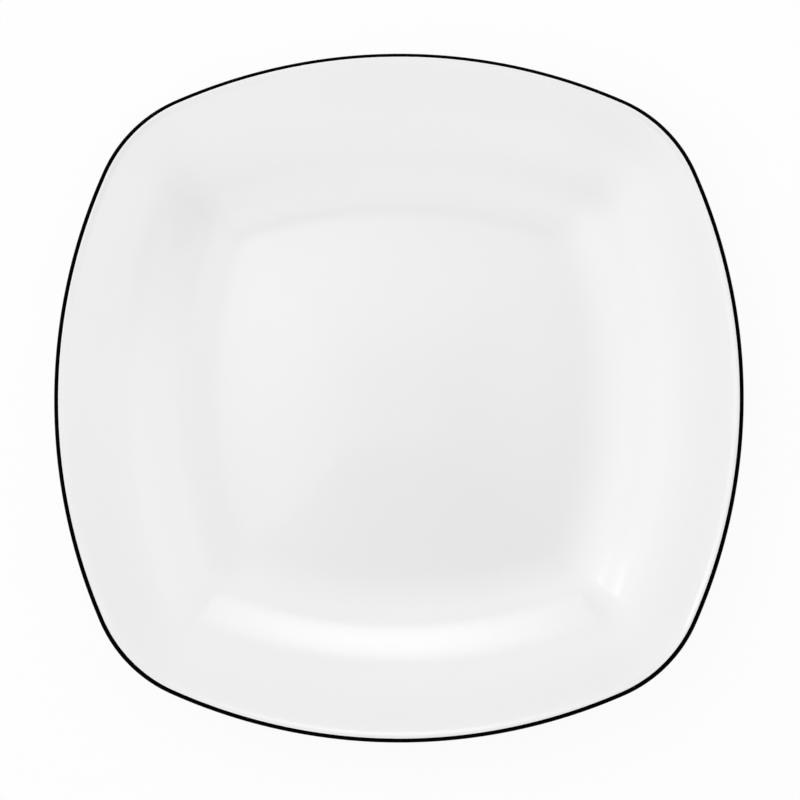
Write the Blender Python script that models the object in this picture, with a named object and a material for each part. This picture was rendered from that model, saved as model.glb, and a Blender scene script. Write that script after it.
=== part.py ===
"""A dessert plate: a rounded square of porcelain with a soft square well, a foot ring and a black line on its lip.

The plate is one fired body with thin coats on it. Every piece is a loft of rounded-square outlines that follow
one profile. A profile is a list of points (half width, height), where the half width is measured from the plate's
middle to the middle of a side. Metres, +Z up, the origin in the middle of the face that the plate stands on.
"""

import math

import bmesh
import bpy
from mathutils import Vector
from mathutils.geometry import interpolate_bezier

# Plan: the floor and its flat middle, then the sloping wall and the rim, which add up to the half width
FLOOR_WIDTH = 0.112
FLOOR_FLAT_WIDTH = 0.020
WALL_RUN = 0.030
RIM_WIDTH = 0.019

# Plan: each outline has four bowed sides and four round corners, tight up the wall and open at the lip
FLOOR_SIDE_RADIUS = 0.152
FLOOR_CORNER_RADIUS = 0.005
LIP_SIDE_RADIUS = 0.1705
LIP_CORNER_RADIUS = 0.0425
CORNER_OPENING = 2.5

# Heights and thicknesses
FOOT_HEIGHT = 0.0024
FLOOR_THICKNESS = 0.0044
FLOOR_CROWN = 0.0010
WELL_DEPTH = 0.0103
WALL_THICKNESS = 0.0042
RIM_RISE = 0.0042
SHOULDER_ANGLE = math.radians(16)

# The lip rolls over from its crest to its outermost line, and on to its underside
LIP_ROLL_WIDTH = 0.0026
LIP_ROLL_DROP = 0.0018
LIP_UNDER_WIDTH = 0.0020
LIP_UNDER_DROP = 0.0015

# The foot ring stands outside the floor's edge, and its lower edges are eased
FOOT_OFFSET = 0.0040
FOOT_RING_WIDTH = 0.0050
FOOT_EDGE = 0.0004
FOOT_BARE_HEIGHT = 0.0010

# Coats: glaze everywhere but the foot, and the black line in plan and below the outermost line
COAT_THICKNESS = 0.0003
LINE_WIDTH = 0.0012
LINE_WRAP = 0.0006
FIT_GAP = 0.0003

# How far the wall's and the rim's curves keep to their end directions, as a share of their run
WALL_FOOT_PULL = 0.40
WALL_SHOULDER_PULL = 0.36
RIM_PULL = 0.33

# Steps of the facets
SIDE_STEPS = 5
CORNER_STEPS = 2
FLOOR_STEPS = 4
WALL_STEPS = 8
RIM_STEPS = 3
ROLL_STEPS = 3
LINE_STEPS = 3

FLOOR_EDGE = FLOOR_WIDTH / 2
SHOULDER = FLOOR_EDGE + WALL_RUN
LIP = SHOULDER + RIM_WIDTH
FLOOR_TOP = FOOT_HEIGHT + FLOOR_THICKNESS
SHOULDER_TOP = FLOOR_TOP + WELL_DEPTH
PLATE_HEIGHT = SHOULDER_TOP + RIM_RISE
FOOT_OUTSIDE = FLOOR_EDGE + FOOT_OFFSET
FOOT_INSIDE = FOOT_OUTSIDE - FOOT_RING_WIDTH


def between(low, high, share):
    return low + (high - low) * share


def plan_radii(half_width):
    """Side and corner radius of the outline at a half width, from the floor's edge to the lip. The sides change
    evenly, and the corners with a power of the way out."""
    share = max(0.0, (half_width - FLOOR_EDGE) / (LIP - FLOOR_EDGE))
    side = between(FLOOR_SIDE_RADIUS, LIP_SIDE_RADIUS, share)
    corner = between(FLOOR_CORNER_RADIUS, LIP_CORNER_RADIUS, share**CORNER_OPENING)
    return side, corner


def outline(half_width, height):
    """Points of a rounded square, anticlockwise: four side arcs, each tangent to the corner arcs at its ends.

    The side arc's centre lies on the axis, a side radius in from the side's middle. The corner arc's centre lies on
    the diagonal, where it is the difference of the two radii away from the side arc's centre.
    """
    side, corner = plan_radii(half_width)
    side_centre = half_width - side
    reach = side - corner
    corner_centre = (side_centre + math.sqrt(2 * reach**2 - side_centre**2)) / 2
    meet = math.atan2(corner_centre, corner_centre - side_centre)
    points = []
    for quarter in range(4):
        turn = quarter * math.pi / 2
        for step in range(-SIDE_STEPS, SIDE_STEPS):
            angle = meet * step / SIDE_STEPS
            x = side_centre + side * math.cos(angle)
            y = side * math.sin(angle)
            points.append((x, y, turn))
        for step in range(2 * CORNER_STEPS):
            angle = between(meet, math.pi / 2 - meet, step / (2 * CORNER_STEPS))
            x = corner_centre + corner * math.cos(angle)
            y = corner_centre + corner * math.sin(angle)
            points.append((x, y, turn))
    return [
        Vector((x * math.cos(a) - y * math.sin(a), x * math.sin(a) + y * math.cos(a), height)) for x, y, a in points
    ]


def curve(start, start_pull, end_pull, end, steps):
    """Points of a profile curve from start to end, whose handles are the two pulls."""
    return interpolate_bezier(start, start + start_pull, end - end_pull, end, steps + 1)


def floor_curve():
    """The crowned floor, from the edge of its flat middle to the foot of the wall: level at both ends."""
    points = []
    for step in range(FLOOR_STEPS + 1):
        share = step / FLOOR_STEPS
        half_width = between(FLOOR_FLAT_WIDTH / 2, FLOOR_EDGE, share)
        points.append(Vector((half_width, FLOOR_TOP + FLOOR_CROWN * (1 - share**2) ** 2)))
    return points


def wall_curve(foot, shoulder, steps):
    """The S of the wall: level where it leaves the floor, at the shoulder's angle where it meets the rim."""
    run = shoulder.x - foot.x
    level = Vector((run * WALL_FOOT_PULL, 0.0))
    slope = Vector((run, run * math.tan(SHOULDER_ANGLE))) * WALL_SHOULDER_PULL
    return curve(foot, level, slope, shoulder, steps)


def rim_curve(shoulder, crest, steps):
    """The rim leaves the shoulder at its angle and flattens out towards the lip."""
    run = crest.x - shoulder.x
    slope = Vector((run, run * math.tan(SHOULDER_ANGLE))) * RIM_PULL
    level = Vector((run * RIM_PULL, 0.0))
    return curve(shoulder, slope, level, crest, steps)


def roll(width, drop, first, last, steps):
    """Part of the lip's round, from one angle above the outermost line to another."""
    middle = Vector((LIP - width, PLATE_HEIGHT - LIP_ROLL_DROP))
    angles = [between(first, last, step / steps) for step in range(steps + 1)]
    return [middle + Vector((width * math.cos(a), drop * math.sin(a))) for a in angles]


def line_top_angle(margin):
    """Where the black line's upper edge lies on the lip's round, with a margin added in plan."""
    return math.acos(1 - (LINE_WIDTH + margin) / LIP_ROLL_WIDTH)


def line_under_angle(margin):
    """Where the black line's lower edge lies on the lip's underside, with a margin added in height."""
    return -math.asin((LINE_WRAP + margin) / LIP_UNDER_DROP)


def top_skin(margin):
    """Finished upper face, from the floor's flat middle over wall and rim to the black line's upper edge."""
    floor = floor_curve()
    shoulder = Vector((SHOULDER, SHOULDER_TOP))
    crest = Vector((LIP - LIP_ROLL_WIDTH, PLATE_HEIGHT))
    wall = wall_curve(floor[-1], shoulder, WALL_STEPS)
    rim = rim_curve(shoulder, crest, RIM_STEPS)
    rolled = roll(LIP_ROLL_WIDTH, LIP_ROLL_DROP, math.pi / 2, line_top_angle(margin), ROLL_STEPS)
    return floor + wall[1:] + rim[1:] + rolled[1:]


def line_skin():
    """Finished face of the black line, over the outermost line of the lip."""
    upper = roll(LIP_ROLL_WIDTH, LIP_ROLL_DROP, line_top_angle(0.0), 0.0, LINE_STEPS)
    lower = roll(LIP_UNDER_WIDTH, LIP_UNDER_DROP, 0.0, line_under_angle(0.0), LINE_STEPS - 1)
    return upper + lower[1:]


def under_skin(margin):
    """Finished underside, from the black line's lower edge to where the glaze stops on the foot ring."""
    lip_under = Vector((LIP - LIP_UNDER_WIDTH, PLATE_HEIGHT - LIP_ROLL_DROP - LIP_UNDER_DROP))
    inward = Vector((math.sin(SHOULDER_ANGLE), -math.cos(SHOULDER_ANGLE)))
    shoulder = Vector((SHOULDER, SHOULDER_TOP)) + inward * WALL_THICKNESS
    foot = Vector((FOOT_OUTSIDE, FOOT_HEIGHT))
    rolled = roll(LIP_UNDER_WIDTH, LIP_UNDER_DROP, line_under_angle(margin), -math.pi / 2, ROLL_STEPS - 1)
    rim = rim_curve(shoulder, lip_under, RIM_STEPS)
    wall = wall_curve(foot, shoulder, WALL_STEPS)
    return rolled + rim[-2::-1] + wall[-2::-1] + [Vector((FOOT_OUTSIDE, FOOT_BARE_HEIGHT))]


def base_skin():
    """Finished base, from where the glaze stops inside the foot ring up to the recessed underside."""
    return [Vector((FOOT_INSIDE, FOOT_BARE_HEIGHT)), Vector((FOOT_INSIDE, FOOT_HEIGHT))]


def sunk(skin, depth, before, after):
    """The skin moved square to itself into the plate. Before and after are the directions of its two ends."""
    sides = [before] + [(b - a).normalized() for a, b in zip(skin, skin[1:])] + [after]
    points = []
    for point, arriving, leaving in zip(skin, sides, sides[1:]):
        inward = Vector((arriving.y + leaving.y, -arriving.x - leaving.x))
        points.append(point + inward.normalized() * depth / math.sqrt((1 + arriving.dot(leaving)) / 2))
    return points


OUTWARD = Vector((1.0, 0.0))
INWARD = Vector((-1.0, 0.0))
DOWN = Vector((0.0, -1.0))
UP = Vector((0.0, 1.0))


def coat(skin, before, after):
    """Closed section of a coat: its finished face, then its hidden face on the way back."""
    return skin + sunk(skin, COAT_THICKNESS, before, after)[::-1]


def ring_edges(ring):
    """The edges between neighbours of a closed ring of vertices."""
    mesh_edges = []
    for here, there in zip(ring, ring[1:] + ring[:1]):
        mesh_edges.append(next(e for e in here.link_edges if e.other_vert(here) is there))
    return mesh_edges


def loft(name, section, material, capped):
    """A solid through the outlines at each point of a section, capped at its two ends or closed on itself."""
    shape = bmesh.new()
    ring = [shape.verts.new(point) for point in outline(*section[0])]
    for here, there in zip(ring, ring[1:] + ring[:1]):
        shape.edges.new((here, there))
    first_edges = ring_edges(ring)
    edges = first_edges
    for station in section[1:]:
        extruded = bmesh.ops.extrude_edge_only(shape, edges=edges)
        fresh = {item for item in extruded["geom"] if isinstance(item, bmesh.types.BMVert)}
        ring = [next(e.other_vert(v) for e in v.link_edges if e.other_vert(v) in fresh) for v in ring]
        for vertex, place in zip(ring, outline(*station)):
            vertex.co = place
        edges = ring_edges(ring)
    if capped:
        bmesh.ops.contextual_create(shape, geom=first_edges)
        bmesh.ops.contextual_create(shape, geom=edges)
    else:
        bmesh.ops.bridge_loops(shape, edges=first_edges + edges)
    bmesh.ops.recalc_face_normals(shape, faces=shape.faces)
    mesh = bpy.data.meshes.new(name)
    shape.to_mesh(mesh)
    shape.free()
    mesh.shade_smooth()
    mesh.set_sharp_from_angle(angle=math.radians(40))
    mesh.materials.append(material)
    return bpy.data.objects.new(name, mesh)


def fired_material(name, colour, roughness):
    material = bpy.data.materials.new(name)
    material.use_nodes = True
    shader = material.node_tree.nodes["Principled BSDF"]
    shader.inputs["Base Color"].default_value = (*colour, 1.0)
    shader.inputs["Roughness"].default_value = roughness
    shader.inputs["Metallic"].default_value = 0.0
    return material


def porcelain_body(material):
    """Floor, wall, rim, lip and foot ring in one piece, under its coats and bare where it stands."""
    depth = COAT_THICKNESS + FIT_GAP
    skin = top_skin(0.0) + line_skin()[1:] + under_skin(0.0)[1:]
    outside = sunk(skin, depth, OUTWARD, DOWN)
    inside = sunk(base_skin(), depth, UP, INWARD)
    outer_edge, inner_edge = outside[-1].x, inside[0].x
    standing = [
        Vector((outer_edge, FOOT_EDGE)),
        Vector((outer_edge - FOOT_EDGE, 0.0)),
        Vector((inner_edge + FOOT_EDGE, 0.0)),
        Vector((inner_edge, FOOT_EDGE)),
    ]
    return loft("porcelain_body", outside + standing + inside, material, capped=True)


def top_glaze(material):
    """The coat on the upper face, from the middle of the floor to just short of the black line."""
    skin = top_skin(FIT_GAP)
    end = (skin[-1] - skin[-2]).normalized()
    return loft("top_glaze", coat(skin, OUTWARD, end), material, capped=True)


def rim_line(material):
    """The black line, a band of coloured coat round the lip."""
    skin = line_skin()
    start = (skin[1] - skin[0]).normalized()
    end = (skin[-1] - skin[-2]).normalized()
    return loft("rim_line", coat(skin, start, end), material, capped=False)


def under_glaze(material):
    """The coat on the underside, from the black line to the outside of the foot ring."""
    skin = under_skin(FIT_GAP)
    start = (skin[1] - skin[0]).normalized()
    return loft("under_glaze", coat(skin, start, DOWN), material, capped=False)


def base_glaze(material):
    """The coat inside the foot ring, a shallow tray upside down."""
    skin = base_skin()
    hidden = sunk(skin, COAT_THICKNESS, UP, INWARD)
    return loft("base_glaze", skin[::-1] + hidden, material, capped=True)


def build():
    for old in list(bpy.data.objects):
        bpy.data.objects.remove(old)
    bare = fired_material("bare_porcelain", (0.79, 0.77, 0.73), 0.65)
    white = fired_material("white_glaze", (0.85, 0.85, 0.85), 0.08)
    black = fired_material("black_line", (0.006, 0.006, 0.006), 0.18)
    collection = bpy.data.collections.new("dessert_plate")
    bpy.context.scene.collection.children.link(collection)
    middle = bpy.data.objects.new("plate_middle", None)
    collection.objects.link(middle)
    pieces = [porcelain_body(bare), top_glaze(white), rim_line(black), under_glaze(white), base_glaze(white)]
    for piece in pieces:
        collection.objects.link(piece)
        piece.parent = middle


build()
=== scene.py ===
"""Looks of the dessert plate: white glazed porcelain with a black line round the lip, seen from above.

Every piece is a surface worked out on a grid. One parameter runs round the plate along a rounded
square, and the other runs along the plate's section. A section is given by half widths, measured from
the plate's middle to the middle of a side, and by heights. Metres, +Z up, the plate standing on z = 0,
the photograph's upper edge at +Y.
"""

import math

import bpy
import numpy as np
from mathutils import Matrix, Vector


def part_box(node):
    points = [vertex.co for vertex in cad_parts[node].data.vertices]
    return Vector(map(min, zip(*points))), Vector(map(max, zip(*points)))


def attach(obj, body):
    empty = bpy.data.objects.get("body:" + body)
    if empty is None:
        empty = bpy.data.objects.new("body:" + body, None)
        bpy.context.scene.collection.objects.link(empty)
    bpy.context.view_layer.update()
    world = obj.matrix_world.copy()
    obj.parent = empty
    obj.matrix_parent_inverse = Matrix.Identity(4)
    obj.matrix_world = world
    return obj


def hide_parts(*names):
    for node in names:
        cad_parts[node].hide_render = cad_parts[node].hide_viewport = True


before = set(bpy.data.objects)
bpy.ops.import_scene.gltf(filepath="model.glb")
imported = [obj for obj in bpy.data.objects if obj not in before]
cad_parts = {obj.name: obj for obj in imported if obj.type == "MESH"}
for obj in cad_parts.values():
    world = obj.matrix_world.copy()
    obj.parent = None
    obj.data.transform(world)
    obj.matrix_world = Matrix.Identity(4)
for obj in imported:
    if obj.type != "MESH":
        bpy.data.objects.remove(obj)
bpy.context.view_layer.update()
MM = 0.001

# Coats: their thickness, and how deep the body lies below the finished face, just under them
COAT = 0.3 * MM
BODY_DEPTH = 1.05 * COAT

# Sizes that the frame gives: the lip's half width, the plate's height, the foot ring's height and its
# inner half width, and the height at which the glaze stops on the ring
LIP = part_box("rim_line")[1].x
PLATE_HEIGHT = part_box("top_glaze")[1].z
FOOT_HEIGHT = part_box("base_glaze")[1].z - COAT
FOOT_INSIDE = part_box("base_glaze")[1].x - COAT
FOOT_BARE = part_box("base_glaze")[0].z

# Plan: half widths of the floor's flat middle, its edge, the shoulder and the foot ring
FLOOR_FLAT = 10.0 * MM
FLOOR_EDGE = 55.0 * MM
SHOULDER = 87.0 * MM
FOOT_OUTSIDE = 60.0 * MM

# Plan: radii of sides and corners, and how late the corners open out on the way to the lip
FLOOR_RADII = (153.0 * MM, 7.0 * MM)
LIP_RADII = (170.5 * MM, 42.5 * MM)
CORNER_OPENING = 2.4

# Section: the floor's height in its middle and how far it sinks, the rim's rise, the wall's thickness
FLOOR_MIDDLE = 7.8 * MM
FLOOR_CROWN = 1.4 * MM
RIM_RISE = 4.5 * MM
WALL_THICKNESS = 4.2 * MM

# Section: the shoulder's slope, and how far curves follow their end slopes, as shares of their run
SHOULDER_SLOPE = math.tan(math.radians(18))
WALL_FOOT_PULL = 0.44
WALL_SHOULDER_PULL = 0.44
RIM_PULL = 0.33
LIP_TURN_PULL = 0.07

# Section: the lip's round above and below its outermost line, across and in height, and the turn and
# length of the flank that runs up to it
LIP_ROLL = (1.55 * MM, 1.55 * MM)
LIP_UNDER = (2.0 * MM, 1.5 * MM)
LIP_TURN = math.radians(28)
LIP_FLANK = 0.9 * MM

# Foot ring: the fillet above it and its eased lower edges
FOOT_FILLET = 0.8 * MM
FOOT_EDGE = 0.6 * MM

# Glaze's edge on the foot ring: its round, how much of that round is drawn, and its wave, which is a
# sum of three. Each has its share, its number of waves round the plate and its start in radians
GLAZE_EDGE = 0.4 * MM
GLAZE_EDGE_SHARE = 0.95
GLAZE_WAVE = 0.15 * MM
GLAZE_WAVES = ((0.5, 5, 1.0), (0.3, 11, 0.4), (0.2, 23, 2.0))

# Black line: its width on top, how far it runs under the lip, how far it stands up and reaches in
LINE_WIDTH = 1.32 * MM
LINE_WRAP = 0.6 * MM
LINE_RELIEF = 0.03 * MM
LINE_DEPTH = 0.1 * MM

# Black line: what the brush added to its width, as shares. At the left it is wider than at the right,
# at the near side than at the far one, at the left and right than at the near and far, and at corners
# than at sides
BRUSH_LEFT = 0.04
BRUSH_NEAR = 0.05
BRUSH_LEFT_AND_RIGHT = 0.055
BRUSH_CORNERS = 0.05

# Glazed porcelain: the sizes of its clouds and ripples, the ripples' depth, the specks' spacing, the
# radii between which a speck fades and its strength, its least and most roughness and its index of
# refraction
CLOUD_SIZE = 35 * MM
RIPPLE_SIZE = 9 * MM
RIPPLE_DEPTH = 0.008 * MM
SPECK_SPACING = 6.5 * MM
SPECK_RADII = (0.13 * MM, 0.325 * MM)
SPECK_STRENGTH = 0.2
GLAZE_ROUGHNESS = (0.05, 0.11)
GLAZE_IOR = 1.5

# Black fired line: the size of its brush marks, its roughness and its shine, plain glass having 0.5
STROKE_SIZE = 4 * MM
LINE_ROUGHNESS = 0.4
LINE_SHINE = 0.005

# Bare porcelain: its grit, the grit's depth and its roughness
GRIT_SIZE = 0.4 * MM
GRIT_DEPTH = 0.03 * MM
BARE_ROUGHNESS = 0.75

# Paper under the plate: its width, how far it lies below the foot ring, the size of its fibres, and the
# share of plain white that the camera and reflections see in it
PAPER_WIDTH = 6.0
PAPER_DROP = 0.02 * MM
FIBRE_SIZE = 3 * MM
PAPER_WHITE = 0.9

# Camera: its distance, how it leans to the near side and to the right, its turn, the point that it aims
# at, how wide a picture it takes at the lip's height, and the width of its sensor in millimetres
CAMERA_DISTANCE = 1.2
CAMERA_LEAN_NEAR = math.radians(3.07)
CAMERA_LEAN_RIGHT = math.radians(1.76)
CAMERA_TURN = math.radians(-0.2)
CAMERA_AIM = (0.6 * MM, -1.05 * MM)
PICTURE_WIDTH = 243.55 * MM
SENSOR_WIDTH = 36.0

# Light: the strength that looks white, and the height on the plate's axis that the lamps face
WHITE = 1.0
LAMP_AIM = 15 * MM

# Room: its strength as a lamp from above and from below, as a pale floor throws it back, and how far
# below the horizon the one turns into the other, as a sine
ROOM = 0.475
BOUNCE = 0.6
HORIZON = 0.1

# Room: its two dim places, where the photograph's camera stood and at the near right, the second given
# by its azimuth and elevation in degrees. Each has its brightness, how far round its middle it stays
# so, and where the room is even again
CAMERA_DIM = (0.3, math.radians(2), math.radians(8))
NEAR_RIGHT = (342, 50)
NEAR_RIGHT_DIM = (0.3, math.radians(4), math.radians(14))

# Steps of the grids round the plate
SIDE_STEPS = 48
CORNER_STEPS = 36
SIDE_SHARE = SIDE_STEPS / (SIDE_STEPS + CORNER_STEPS)
AROUND = np.arange(4 * (SIDE_STEPS + CORNER_STEPS)) / (SIDE_STEPS + CORNER_STEPS)

# Steps of the grids along the sections
FLOOR_FLAT_STEPS = 4
FLOOR_STEPS = 24
WALL_STEPS = 40
RIM_STEPS = 30
LIP_STEPS = 16
UNDER_LIP_STEPS = 12
UNDER_RIM_STEPS = 20
UNDER_WALL_STEPS = 32
FILLET_STEPS = 8
FOOT_STEPS = 12
FOOT_EDGE_STEPS = 6
BASE_STEPS = 16
LINE_STEPS = 14


def radii(half_width):
    """Side and corner radius at each half width. Inside the floor's edge they scale with it. From there
    to the lip the sides change evenly, and the corners with a power of the way out."""
    inside = np.clip(half_width / FLOOR_EDGE, 0, 1)
    out = np.clip((half_width - FLOOR_EDGE) / (LIP - FLOOR_EDGE), 0, None)
    side = FLOOR_RADII[0] * inside + (LIP_RADII[0] - FLOOR_RADII[0]) * out
    corner = FLOOR_RADII[1] * inside + (LIP_RADII[1] - FLOOR_RADII[1]) * out**CORNER_OPENING
    return side, corner


def outline(half_width):
    """Rounded squares, one for each half width: x and y on a grid of half widths by AROUND.

    Each quarter is a side arc and a corner arc that touch. The side arc's centre lies on the axis, a side
    radius in from the side's middle. The corner arc's centre lies on the diagonal, the difference of the
    radii away from it.
    """
    side, corner = radii(half_width)
    side_centre = half_width - side
    corner_centre = (side_centre + np.sqrt(2 * (side - corner) ** 2 - side_centre**2)) / 2
    meet = np.arctan2(corner_centre, corner_centre - side_centre)
    quarter, part = np.divmod(AROUND, 1.0)
    on_side = part < SIDE_SHARE
    side_angle = meet * (2 * part / SIDE_SHARE - 1)
    corner_angle = meet + (math.pi / 2 - 2 * meet) * (part - SIDE_SHARE) / (1 - SIDE_SHARE)
    side_x = side_centre + side * np.cos(side_angle)
    side_y = side * np.sin(side_angle)
    corner_x = corner_centre + corner * np.cos(corner_angle)
    corner_y = corner_centre + corner * np.sin(corner_angle)
    x = np.where(on_side, side_x, corner_x)
    y = np.where(on_side, side_y, corner_y)
    turn = quarter * math.pi / 2
    return x * np.cos(turn) - y * np.sin(turn), x * np.sin(turn) + y * np.cos(turn)


def turns():
    """An angle round the plate for each column of the grids: nought at the middle of the right side, an
    eighth of a turn from there to the middle of the next corner, and so on."""
    return (AROUND - SIDE_SHARE / 2) * math.pi / 2


def bezier(start, start_pull, end_pull, end, steps):
    """A cubic curve from start to end, whose handles are the two pulls."""
    t = np.linspace(0, 1, steps + 1)[:, None]
    start, end = np.array(start), np.array(end)
    first, second = start + np.array(start_pull), end - np.array(end_pull)
    return (1 - t) ** 3 * start + 3 * (1 - t) ** 2 * t * first + 3 * (1 - t) * t**2 * second + t**3 * end


def wall_curve(foot, shoulder, steps):
    """The S of the wall: level at the floor, at the shoulder's slope where it meets the rim."""
    run = shoulder[0] - foot[0]
    slope = (run * WALL_SHOULDER_PULL, run * WALL_SHOULDER_PULL * SHOULDER_SLOPE)
    return bezier(foot, (run * WALL_FOOT_PULL, 0), slope, shoulder, steps)


def rim_curve(shoulder, end, end_slope, end_pull, steps):
    """The rim: at the shoulder's slope where it starts, at its own slope where it meets the lip."""
    run = end[0] - shoulder[0]
    start_pull = (run * RIM_PULL, run * RIM_PULL * SHOULDER_SLOPE)
    return bezier(shoulder, start_pull, (run * end_pull, run * end_pull * end_slope), end, steps)


def lip_round(angles):
    """The lip's round: arcs of an upper and a lower ellipse that meet at the outermost line."""
    across = np.where(angles > 0, LIP_ROLL[0], LIP_UNDER[0])
    rise = np.where(angles > 0, LIP_ROLL[1], LIP_UNDER[1])
    half_width = LIP - across + across * np.cos(angles)
    return np.stack([half_width, PLATE_HEIGHT - LIP_ROLL[1] + rise * np.sin(angles)], axis=-1)


def top_section():
    """The finished upper face, from the middle of the well to the outermost line of the lip. The floor
    sinks from its flat middle to its edge as the square of a parabola, level at both, and the rim turns
    up into a straight flank below the lip's round."""
    shoulder = (SHOULDER, PLATE_HEIGHT - RIM_RISE)
    middle = np.linspace((0, FLOOR_MIDDLE), (FLOOR_FLAT, FLOOR_MIDDLE), FLOOR_FLAT_STEPS + 1)
    out = np.linspace(0, 1, FLOOR_STEPS + 1)
    sinking = FLOOR_MIDDLE + FLOOR_CROWN * ((1 - out**2) ** 2 - 1)
    floor = np.stack([FLOOR_FLAT + (FLOOR_EDGE - FLOOR_FLAT) * out, sinking], axis=1)
    wall = wall_curve(floor[-1], shoulder, WALL_STEPS)
    roll = lip_round(np.linspace(math.pi / 2 + LIP_TURN, 0, LIP_STEPS + 1))
    flank = np.array([math.cos(LIP_TURN), math.sin(LIP_TURN)]) * LIP_FLANK
    rim = rim_curve(shoulder, roll[0] - flank, math.tan(LIP_TURN), LIP_TURN_PULL, RIM_STEPS)
    return np.concatenate([middle, floor[1:], wall[1:], rim[1:], roll])


def foot_flank(half_width, outward):
    """A side of the foot ring, from the level underside round a fillet to where the glaze stops."""
    angles = np.linspace(math.pi / 2, math.pi, FILLET_STEPS + 1)
    across = half_width + outward * FOOT_FILLET * (1 + np.cos(angles))
    fillet = np.stack([across, FOOT_HEIGHT - FOOT_FILLET * (1 - np.sin(angles))], axis=1)
    straight = np.linspace(fillet[-1], (half_width, FOOT_BARE), FOOT_STEPS + 1)
    return np.concatenate([fillet, straight[1:]])


def under_section():
    """The finished underside, from the lip's outermost line to where the glaze stops on the foot ring."""
    shoulder_angle = math.atan(SHOULDER_SLOPE)
    shoulder = (
        SHOULDER + WALL_THICKNESS * math.sin(shoulder_angle),
        PLATE_HEIGHT - RIM_RISE - WALL_THICKNESS * math.cos(shoulder_angle),
    )
    roll = lip_round(np.linspace(0, -math.pi / 2, UNDER_LIP_STEPS + 1))
    rim = rim_curve(shoulder, roll[-1], 0, RIM_PULL, UNDER_RIM_STEPS)[::-1]
    flank = foot_flank(FOOT_OUTSIDE, 1)
    wall = wall_curve(flank[0], shoulder, UNDER_WALL_STEPS)[::-1]
    return np.concatenate([roll, rim[1:], wall[1:], flank[1:]])


def base_section():
    """The finished base, from where the glaze stops inside the foot ring to the middle."""
    flank = foot_flank(FOOT_INSIDE, -1)[::-1]
    base = np.linspace(flank[-1], (0, FOOT_HEIGHT), BASE_STEPS + 1)
    return np.concatenate([flank, base[1:]])


def thinned(section, outward):
    """The section where its coat thins to a round edge on the foot ring, a quarter of an ellipse."""
    low = np.clip((FOOT_BARE + GLAZE_EDGE - section[:, 1]) / GLAZE_EDGE, 0, GLAZE_EDGE_SHARE)
    thinner = COAT * (1 - np.sqrt(1 - low**2))
    return section - np.stack([outward * thinner, np.zeros_like(low)], axis=1)


def sunk(section, depth):
    """The section moved into the plate, square to itself. Sections have the plate on their right."""
    along = np.gradient(section, axis=0)
    along /= np.linalg.norm(along, axis=1, keepdims=True)
    moved = section + depth * np.stack([along[:, 1], -along[:, 0]], axis=1)
    moved[:, 0] = np.where(section[:, 0] == 0, 0, np.maximum(moved[:, 0], 0))
    return moved


def wavy(section):
    """The section's heights all round the plate, with a slow wave that the glaze's edge on the foot
    ring keeps: a sum of sines that starts below the ring's fillet."""
    turn = turns()
    wave = sum(share * np.sin(count * turn + start) for share, count, start in GLAZE_WAVES)
    near_edge = np.clip((FOOT_HEIGHT - FOOT_FILLET - section[:, 1:]) / GLAZE_EDGE, 0, 1)
    return section[:, 1:] + GLAZE_WAVE * wave * near_edge


def line_width():
    """The line's width on the upper face, as a half width: its true width over the distance from
    outline to outline, square to them. As the brush left it, it is widest at the near corners and
    narrowest at the far side."""
    turn = turns()
    x, y = outline(np.array([[LIP - LINE_WIDTH], [LIP]]))
    along_x = np.roll(x[1], -1) - np.roll(x[1], 1)
    along_y = np.roll(y[1], -1) - np.roll(y[1], 1)
    square = (x[1] - x[0]) * along_y - (y[1] - y[0]) * along_x
    spacing = square / np.hypot(along_x, along_y) / LINE_WIDTH
    one_sided = BRUSH_LEFT * np.cos(turn) + BRUSH_NEAR * np.sin(turn)
    repeated = BRUSH_LEFT_AND_RIGHT * np.cos(2 * turn) - BRUSH_CORNERS * np.cos(4 * turn)
    return LINE_WIDTH * (1 - one_sided + repeated) / spacing


def surface(name, half_width, height, material):
    """A closed piece from a grid of half widths and heights. Rows run along a section that closes on
    itself, or that starts and ends at the plate's middle, where an outline is a single point with a fan
    of triangles round it."""
    x, y = outline(half_width)
    points = np.stack([x, y, np.broadcast_to(height, x.shape)], axis=-1)
    rows, columns = x.shape
    rings = np.arange(rows * columns).reshape(rows, columns)
    middle_ended = half_width[0].max() == 0
    if middle_ended:
        points = np.concatenate([points[1:-1].reshape(-1, 3), points[0, :1], points[-1, :1]])
        rings = rings[: rows - 2]
    else:
        rings = np.concatenate([rings, rings[:1]])
    beside = np.roll(rings, -1, axis=1)
    corners = [rings[:-1], rings[1:], beside[1:], beside[:-1]]
    faces = np.stack(corners, axis=-1).reshape(-1, 4).tolist()
    if middle_ended:
        first = np.full(columns, len(points) - 2)
        last = np.full(columns, len(points) - 1)
        faces += np.stack([first, rings[0], beside[0]], axis=-1).tolist()
        faces += np.stack([rings[-1], last, beside[-1]], axis=-1).tolist()
    mesh = bpy.data.meshes.new(name)
    mesh.from_pydata(points.reshape(-1, 3), [], faces)
    mesh.shade_smooth()
    mesh.materials.append(material)
    piece = bpy.data.objects.new(name, mesh)
    bpy.context.scene.collection.objects.link(piece)
    return piece


def linear(colour):
    """An sRGB hex colour as linear red, green, blue and alpha."""
    parts = [int(colour[at : at + 2], 16) / 255 for at in (1, 3, 5)]
    return (*[c / 12.92 if c <= 0.04045 else ((c + 0.055) / 1.055) ** 2.4 for c in parts], 1.0)


def add(tree, kind, values=None, links=None, **settings):
    """Adds a node with its settings, its sockets' values and its links from other nodes' outputs."""
    made = tree.nodes.new(kind)
    for name, value in settings.items():
        setattr(made, name, value)
    for socket, value in (values or {}).items():
        made.inputs[socket].default_value = value
    for socket, source in (links or {}).items():
        tree.links.new(source, made.inputs[socket])
    return made


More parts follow.
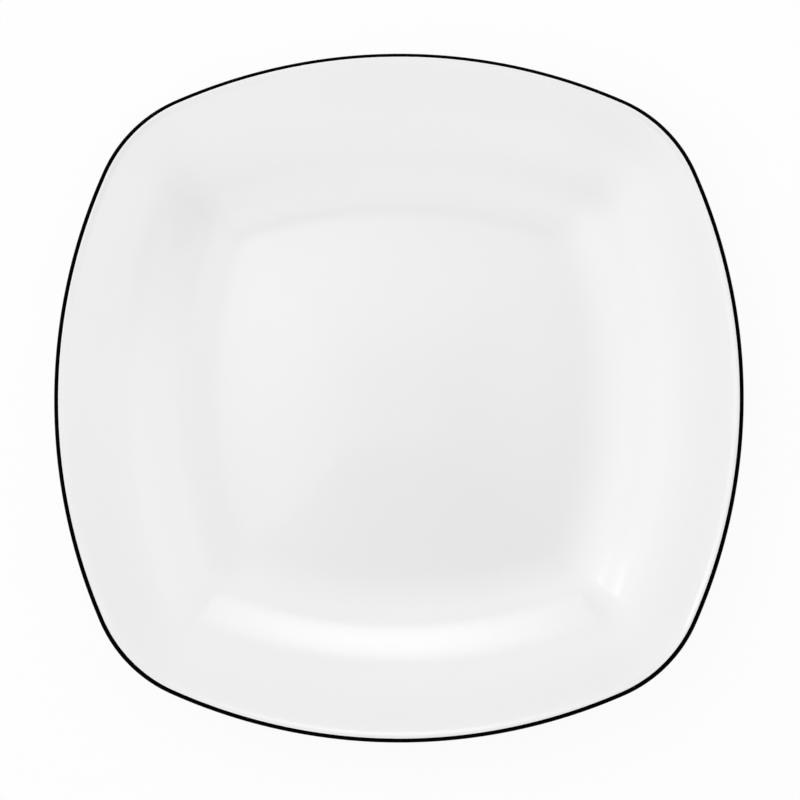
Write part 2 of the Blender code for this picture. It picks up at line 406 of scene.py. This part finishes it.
def new_material(name):
    """A new material, its node tree, and the place on the object that its patterns read."""
    material = bpy.data.materials.new(name)
    material.use_nodes = True
    tree = material.node_tree
    return material, tree, add(tree, "ShaderNodeTexCoord").outputs["Object"]


def mottled(tree, place, size, detail, colours):
    """A colour that wanders between two, in spots of a size: the pattern, 0 to 1, and the colour."""
    spots = add(tree, "ShaderNodeTexNoise", {"Scale": 1 / size, "Detail": detail}, {"Vector": place})
    pattern = spots.outputs["Fac"]
    ends = {"Color1": linear(colours[0]), "Color2": linear(colours[1])}
    mixed = add(tree, "ShaderNodeMixRGB", ends, {"Fac": pattern})
    return pattern, mixed.outputs["Color"]


def glazed_porcelain():
    """Clear glaze over white porcelain. The eye gets a soft white with clear reflections, a faint
    cloudiness a few centimetres across, a few pale specks and the slight unevenness of a melted
    surface."""
    material, tree, place = new_material("glazed_porcelain")
    cloud, white = mottled(tree, place, CLOUD_SIZE, detail=2.0, colours=("#EEEEEE", "#F0F0F0"))
    cell = add(tree, "ShaderNodeTexVoronoi", {"Scale": 1 / SPECK_SPACING}, {"Vector": place})
    inner, outer = (radius / SPECK_SPACING for radius in SPECK_RADII)
    fading = {"From Min": inner, "From Max": outer, "To Min": SPECK_STRENGTH, "To Max": 0.0}
    speck = add(tree, "ShaderNodeMapRange", fading, {"Value": cell.outputs["Distance"]})
    specked = add(tree, "ShaderNodeMixRGB", {"Color2": linear("#CDC9C1")},
                  {"Fac": speck.outputs["Result"], "Color1": white})
    least, most = GLAZE_ROUGHNESS
    gloss = add(tree, "ShaderNodeMapRange", {"To Min": least, "To Max": most}, {"Value": cloud})
    ripple = add(tree, "ShaderNodeTexNoise", {"Scale": 1 / RIPPLE_SIZE, "Detail": 1.0}, {"Vector": place})
    uneven = add(tree, "ShaderNodeBump", {"Distance": RIPPLE_DEPTH}, {"Height": ripple.outputs["Fac"]})
    shader = tree.nodes["Principled BSDF"]
    shader.inputs["IOR"].default_value = GLAZE_IOR
    tree.links.new(specked.outputs["Color"], shader.inputs["Base Color"])
    tree.links.new(gloss.outputs["Result"], shader.inputs["Roughness"])
    tree.links.new(uneven.outputs["Normal"], shader.inputs["Normal"])
    return material


def black_line():
    """Black ceramic colour fired on with a brush. The eye gets a dense black with next to no shine, a
    little thinner in places."""
    material, tree, place = new_material("black_fired_line")
    black = mottled(tree, place, STROKE_SIZE, detail=2.0, colours=("#010101", "#040404"))[1]
    shader = tree.nodes["Principled BSDF"]
    shader.inputs["Roughness"].default_value = LINE_ROUGHNESS
    shader.inputs["Specular IOR Level"].default_value = LINE_SHINE
    tree.links.new(black, shader.inputs["Base Color"])
    return material


def bare_porcelain():
    """Unglazed fired porcelain. The eye gets a matt warm white with a fine grit, which is drawn twice
    as coarse as it is so that it shows."""
    material, tree, place = new_material("bare_fired_porcelain")
    grit, warm = mottled(tree, place, GRIT_SIZE, detail=3.0, colours=("#CFC9BE", "#E4E1D9"))
    rough = add(tree, "ShaderNodeBump", {"Distance": GRIT_DEPTH}, {"Height": grit})
    shader = tree.nodes["Principled BSDF"]
    shader.inputs["Roughness"].default_value = BARE_ROUGHNESS
    tree.links.new(warm, shader.inputs["Base Color"])
    tree.links.new(rough.outputs["Normal"], shader.inputs["Normal"])
    return material


def mirrored(tree, rays):
    """1 for rays that a glossy or clear surface sent on, 0 for others."""
    both = {0: rays.outputs["Is Glossy Ray"], 1: rays.outputs["Is Transmission Ray"]}
    return add(tree, "ShaderNodeMath", links=both, operation="MAXIMUM").outputs["Value"]


def pale_paper():
    """Pale matt paper. The camera and reflections see it as nearly plain white, with a little of its
    shading for the shadow. It is clear from below and to scattered light, so that the underside can be
    looked at."""
    material, tree, place = new_material("pale_matt_paper")
    tree.nodes.remove(tree.nodes["Principled BSDF"])
    pale = mottled(tree, place, FIBRE_SIZE, detail=2.0, colours=("#F6F6F6", "#FAFAFA"))[1]
    matt = add(tree, "ShaderNodeBsdfDiffuse", links={"Color": pale})
    glow = add(tree, "ShaderNodeEmission", {"Color": linear("#FFFFFF"), "Strength": WHITE})
    rays = add(tree, "ShaderNodeLightPath")
    seen = add(tree, "ShaderNodeMath", operation="MAXIMUM",
               links={0: rays.outputs["Is Camera Ray"], 1: mirrored(tree, rays)})
    share = add(tree, "ShaderNodeMath", {1: PAPER_WHITE}, {0: seen.outputs["Value"]}, operation="MULTIPLY")
    paper = add(tree, "ShaderNodeMixShader",
                links={0: share.outputs["Value"], 1: matt.outputs[0], 2: glow.outputs[0]})
    side = add(tree, "ShaderNodeNewGeometry")
    unseen = add(tree, "ShaderNodeMath", operation="MAXIMUM",
                 links={0: side.outputs["Backfacing"], 1: rays.outputs["Is Diffuse Ray"]})
    clear = add(tree, "ShaderNodeBsdfTransparent")
    whole = add(tree, "ShaderNodeMixShader",
                links={0: unseen.outputs["Value"], 1: paper.outputs[0], 2: clear.outputs[0]})
    tree.links.new(whole.outputs[0], tree.nodes["Material Output"].inputs["Surface"])
    return material


def join(piece, node):
    """Puts a piece in the frame in place of a node: it hangs from the frame's root, and the node is hidden.
    """
    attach(piece, "root")
    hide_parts(node)


def build_glaze(glaze, top, under, base):
    """The three coats: a finished face, and a hidden face on the way back."""
    upper = np.concatenate([top, sunk(top, COAT)[::-1]])
    piece = surface("glaze_of_the_upper_face", upper[:, :1], upper[:, 1:], glaze)
    join(piece, "top_glaze")
    lower = np.concatenate([thinned(under, 1), sunk(under, COAT)[::-1]])
    piece = surface("glaze_of_the_underside", lower[:, :1], wavy(lower), glaze)
    join(piece, "under_glaze")
    inner = np.concatenate([sunk(base, COAT)[::-1], thinned(base, -1)])
    piece = surface("glaze_of_the_base", inner[:, :1], wavy(inner), glaze)
    join(piece, "base_glaze")


def build_body(bare, top, under, base):
    """The porcelain body just below its coats, with the bare foot ring, whose edges are quarter circles."""
    outside = sunk(np.concatenate([top, under[1:]]), BODY_DEPTH)
    inside = sunk(base, BODY_DEPTH)
    angles = np.linspace(0, math.pi / 2, FOOT_EDGE_STEPS + 1)
    eased = FOOT_EDGE * (1 - np.cos(angles))
    lowered = FOOT_EDGE * (1 - np.sin(angles))
    outer_round = np.stack([outside[-1, 0] - eased, lowered], axis=1)
    inner_round = np.stack([inside[0, 0] + eased, lowered], axis=1)[::-1]
    section = np.concatenate([outside, outer_round, inner_round, inside])
    piece = surface("porcelain_under_the_glaze", section[:, :1], section[:, 1:], bare)
    join(piece, "porcelain_body")


def build_line(line):
    """The black line, a thin band over the lip's round. It stands up in its middle and falls off to its
    edges with the fourth power of the way there."""
    across = np.linspace(0, 1, LINE_STEPS + 1)[:, None]
    upper = np.arccos(1 - line_width() / LIP_ROLL[0])
    lower = -math.asin(LINE_WRAP / LIP_UNDER[1])
    angle = upper + (lower - upper) * across
    band = lip_round(angle)
    outward = np.stack([np.cos(angle), np.sin(angle)], axis=-1)
    lift = LINE_RELIEF * (1 - (2 * across - 1) ** 4)
    section = np.concatenate([band + lift[..., None] * outward, (band - LINE_DEPTH * outward)[::-1]])
    piece = surface("black_line_on_the_lip", section[..., 0], section[..., 1], line)
    join(piece, "rim_line")


def build_plate():
    """The plate's five pieces: coats and body from the same three sections, and the line over the lip."""
    top, under, base = top_section(), under_section(), base_section()
    build_glaze(glazed_porcelain(), top, under, base)
    build_body(bare_porcelain(), top, under, base)
    build_line(black_line())


def build_floor():
    """The floor under the plate, a plain sheet of paper."""
    bpy.ops.mesh.primitive_plane_add(size=PAPER_WIDTH, location=(0, 0, -PAPER_DROP))
    floor = bpy.context.object
    floor.name = "pale_floor"
    floor.data.materials.append(pale_paper())


def towards(azimuth, elevation):
    """The direction at an azimuth, from the right side towards the photograph's upper edge, and an
    elevation, both in degrees."""
    around, up = math.radians(azimuth), math.radians(elevation)
    return Vector((math.cos(around) * math.cos(up), math.sin(around) * math.cos(up), math.sin(up)))


def camera_side():
    """The direction from the plate to the camera."""
    away = Vector((math.sin(CAMERA_LEAN_RIGHT), -math.sin(CAMERA_LEAN_NEAR), 0.0))
    away.z = math.sqrt(1 - away.length_squared)
    return away


def dimmed(tree, way, place, dim):
    """The room's brightness round a dim place, as a share: dim within the inner angle, full past the
    outer one."""
    level, inner, outer = dim
    beside = add(tree, "ShaderNodeVectorMath", {1: place}, {0: way}, operation="DOT_PRODUCT")
    edges = {"From Min": math.cos(outer), "From Max": math.cos(inner), "To Min": 1.0, "To Max": level}
    share = add(tree, "ShaderNodeMapRange", edges, {"Value": beside.outputs["Value"]},
                interpolation_type="SMOOTHSTEP")
    return share.outputs["Result"]


def build_room():
    """An even pale room with two dim places, brighter from below. It is plain white to the camera, and
    white in reflections apart from the dim places."""
    world = bpy.data.worlds.new("studio")
    bpy.context.scene.world = world
    world.use_nodes = True
    tree = world.node_tree
    way = add(tree, "ShaderNodeTexCoord").outputs["Generated"]
    rays = add(tree, "ShaderNodeLightPath")
    camera_place = dimmed(tree, way, camera_side(), CAMERA_DIM)
    near_right = dimmed(tree, way, towards(*NEAR_RIGHT), NEAR_RIGHT_DIM)
    shade = add(tree, "ShaderNodeMath", links={0: camera_place, 1: near_right}, operation="MULTIPLY")
    height = add(tree, "ShaderNodeSeparateXYZ", links={"Vector": way}).outputs["Z"]
    levels = {"From Min": -HORIZON, "From Max": 0.0, "To Min": BOUNCE, "To Max": ROOM}
    scattered = add(tree, "ShaderNodeMapRange", levels, {"Value": height})
    level = add(tree, "ShaderNodeMapRange", {"To Max": WHITE},
                {"Value": mirrored(tree, rays), "To Min": scattered.outputs["Result"]})
    room = add(tree, "ShaderNodeMath", operation="MULTIPLY",
               links={0: level.outputs["Result"], 1: shade.outputs["Value"]})
    strength = add(tree, "ShaderNodeMapRange", {"To Max": WHITE},
                   {"Value": rays.outputs["Is Camera Ray"], "To Min": room.outputs["Value"]})
    background = tree.nodes["Background"]
    background.inputs["Color"].default_value = linear("#FFFFFF")
    tree.links.new(strength.outputs["Result"], background.inputs["Strength"])


def softbox(name, azimuth, elevation, distance, width, height, softness, radiance):
    """A rectangular lamp that faces the plate from an azimuth and an elevation. It fades towards its
    edges, over a share of its half width and half height. White paper that sees nothing but a radiance
    of 1 looks white."""
    light = bpy.data.lights.new(name, "AREA")
    light.shape = "RECTANGLE"
    light.size, light.size_y = width, height
    light.energy = math.pi * width * height * radiance
    light.use_nodes = True
    tree = light.node_tree
    lamp = add(tree, "ShaderNodeNewGeometry")
    across = add(tree, "ShaderNodeVectorMath", {1: (2, 2, 2), 2: (-1, -1, -1)},
                 {0: lamp.outputs["Parametric"]}, operation="MULTIPLY_ADD")
    off_middle = add(tree, "ShaderNodeVectorMath", links={0: across.outputs["Vector"]},
                     operation="ABSOLUTE")
    # A map range of vectors takes the vector at socket 6, its old range at 7 and 8, its new one at 9 and 10
    edges = {7: (1 - softness,) * 3, 8: (1, 1, 1), 9: (1, 1, 1), 10: (0, 0, 0)}
    fade = add(tree, "ShaderNodeMapRange", edges, {6: off_middle.outputs["Vector"]},
               data_type="FLOAT_VECTOR", interpolation_type="SMOOTHSTEP")
    ways = add(tree, "ShaderNodeSeparateXYZ", links={"Vector": fade.outputs["Vector"]})
    both = add(tree, "ShaderNodeMath", links={0: ways.outputs["X"], 1: ways.outputs["Y"]},
               operation="MULTIPLY")
    tree.links.new(both.outputs["Value"], tree.nodes["Emission"].inputs["Strength"])
    away = towards(azimuth, elevation)
    holder = bpy.data.objects.new(name, light)
    holder.location = away * distance + Vector((0, 0, LAMP_AIM))
    holder.rotation_euler = away.to_track_quat("Z", "Y").to_euler()
    holder.visible_camera = False
    bpy.context.scene.collection.objects.link(holder)


def build_lamps():
    """Softboxes round the plate. The two panels have crisp edges, which the walls mirror as bands, and
    the small lamp is mirrored in the near right corner of the well."""
    softbox("lamp_behind", azimuth=91, elevation=39.5, distance=0.95,
            width=0.60, height=0.36, softness=0.95, radiance=3.5)
    softbox("lamp_left", azimuth=161, elevation=46, distance=0.50,
            width=0.67, height=0.40, softness=0.96, radiance=1.50)
    softbox("lamp_right", azimuth=30, elevation=51, distance=0.50,
            width=0.78, height=0.64, softness=1.0, radiance=1.12)
    softbox("lamp_overhead", azimuth=151, elevation=66, distance=0.61,
            width=1.39, height=0.53, softness=1.0, radiance=1.32)
    softbox("lamp_in_front", azimuth=241, elevation=61, distance=0.60,
            width=0.75, height=0.54, softness=1.0, radiance=1.15)
    softbox("strip_in_front", azimuth=274, elevation=50, distance=0.95,
            width=1.10, height=0.30, softness=1.0, radiance=0.7)
    softbox("panel_left", azimuth=172, elevation=45, distance=1.0,
            width=0.52, height=0.22, softness=0.06, radiance=0.4)
    softbox("panel_right", azimuth=11, elevation=49, distance=1.0,
            width=0.50, height=0.22, softness=0.06, radiance=0.6)
    softbox("small_lamp_left", azimuth=160, elevation=44, distance=0.60,
            width=0.09, height=0.07, softness=1.0, radiance=3.0)


def build_camera():
    """A long lens nearly overhead, which leans a few degrees towards the near side and the right."""
    camera = bpy.data.cameras.new("camera")
    camera.sensor_width = SENSOR_WIDTH
    camera.lens = SENSOR_WIDTH * CAMERA_DISTANCE / PICTURE_WIDTH
    away = camera_side()
    right = Vector((math.sin(CAMERA_TURN), math.cos(CAMERA_TURN), 0.0)).cross(away).normalized()
    holder = bpy.data.objects.new("camera", camera)
    holder.location = Vector((*CAMERA_AIM, PLATE_HEIGHT - LIP_ROLL[1])) + away * CAMERA_DISTANCE
    holder.rotation_euler = Matrix((right, away.cross(right), away)).transposed().to_euler()
    bpy.context.scene.collection.objects.link(holder)
    bpy.context.scene.camera = holder


bpy.context.scene.view_settings.view_transform = "Standard"
build_plate()
build_floor()
build_room()
build_lamps()
build_camera()

bpy.context.view_layer.update()
